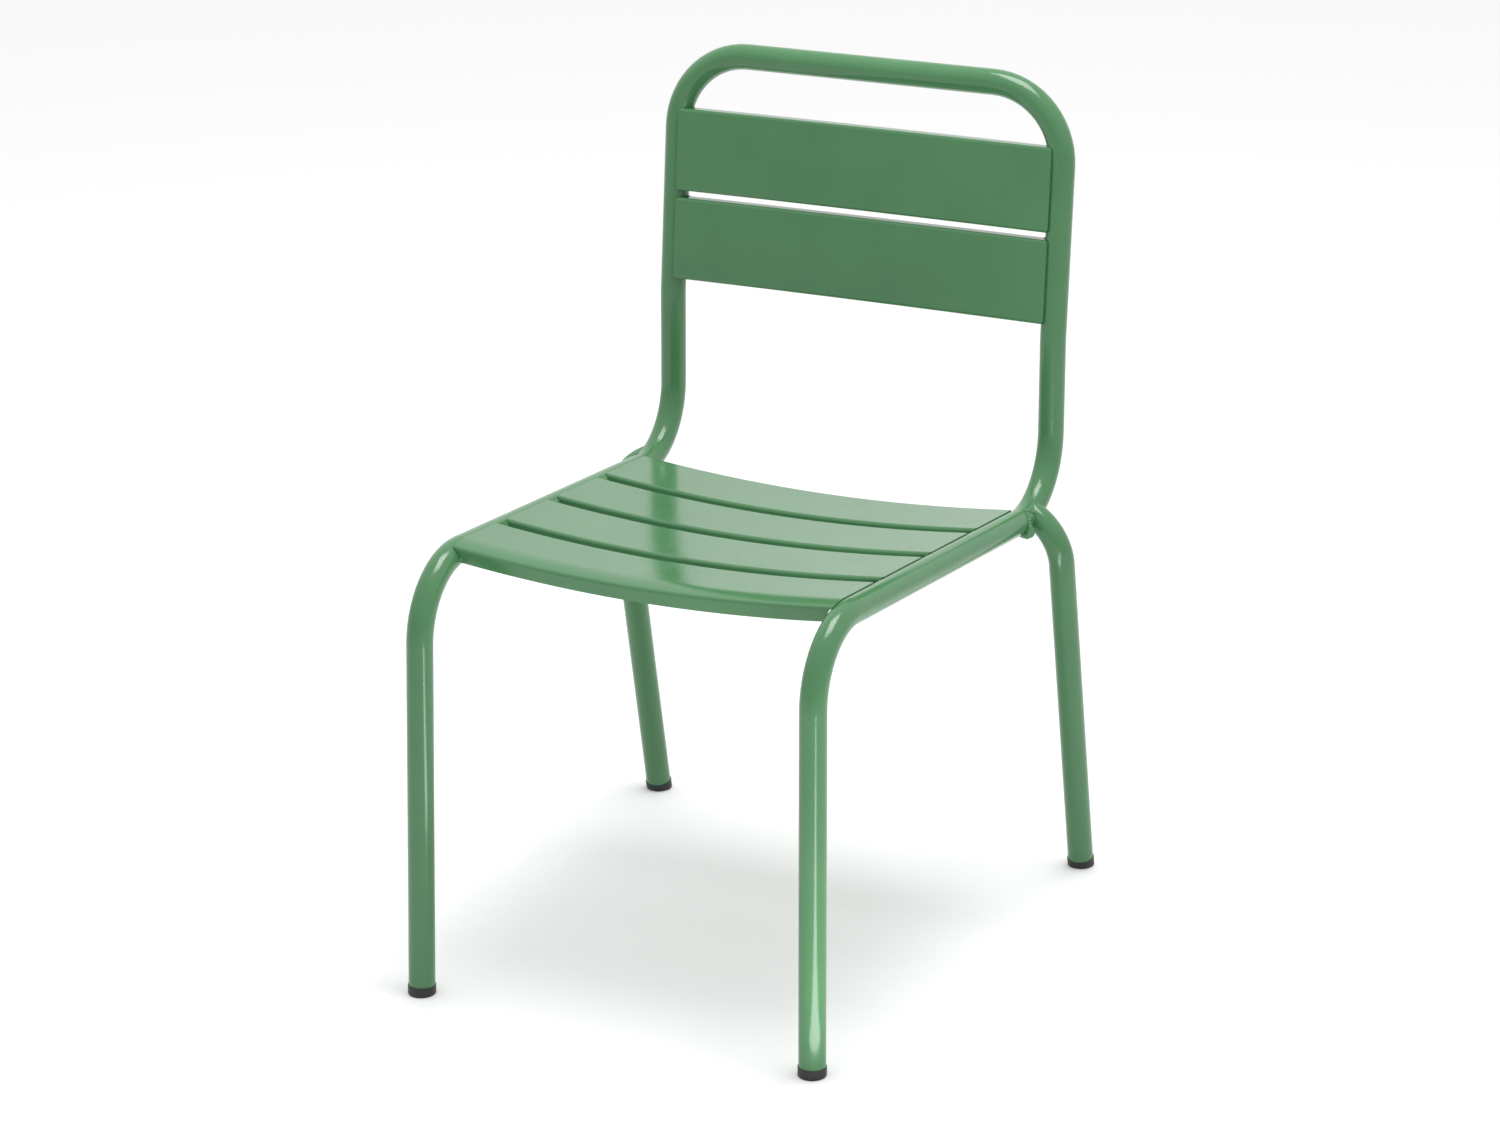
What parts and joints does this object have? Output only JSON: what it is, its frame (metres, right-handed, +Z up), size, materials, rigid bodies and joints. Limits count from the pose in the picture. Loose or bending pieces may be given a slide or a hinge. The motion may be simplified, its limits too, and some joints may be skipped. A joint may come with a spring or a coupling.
{
  "type": "stacking chair",
  "caption": "Stacking chair: one bent steel tube forms front legs, seat rails and back hoop, with welded rear legs, pressed sheet slats and plastic feet.",
  "frame": {"origin": "on the floor, under the middle of the chair's box", "axes": "+Z up, -Y the way the sitter faces, +X the sitter's left"},
  "size_m": [0.5006, 0.5796, 0.79],
  "materials": {
    "powder_coat": "gloss powder coat, sage green",
    "foot_plastic": "moulded, matt black"
  },
  "bodies": {
    "root": {"frame_tube": "powder_coat", "rear_leg_left": "powder_coat", "rear_leg_right": "powder_coat", "rear_leg_weld_left": "powder_coat", "rear_leg_weld_right": "powder_coat", "front_seat_slat": "powder_coat", "second_seat_slat": "powder_coat", "third_seat_slat": "powder_coat", "rear_seat_slat": "powder_coat", "lower_back_slat": "powder_coat", "upper_back_slat": "powder_coat", "front_seat_slat_welds": "powder_coat", "second_seat_slat_welds": "powder_coat", "third_seat_slat_welds": "powder_coat", "rear_seat_slat_welds": "powder_coat", "lower_back_slat_welds": "powder_coat", "upper_back_slat_welds": "powder_coat", "front_left_foot": "foot_plastic", "front_right_foot": "foot_plastic", "rear_left_foot": "foot_plastic", "rear_right_foot": "foot_plastic"}
  },
  "joints": []
}
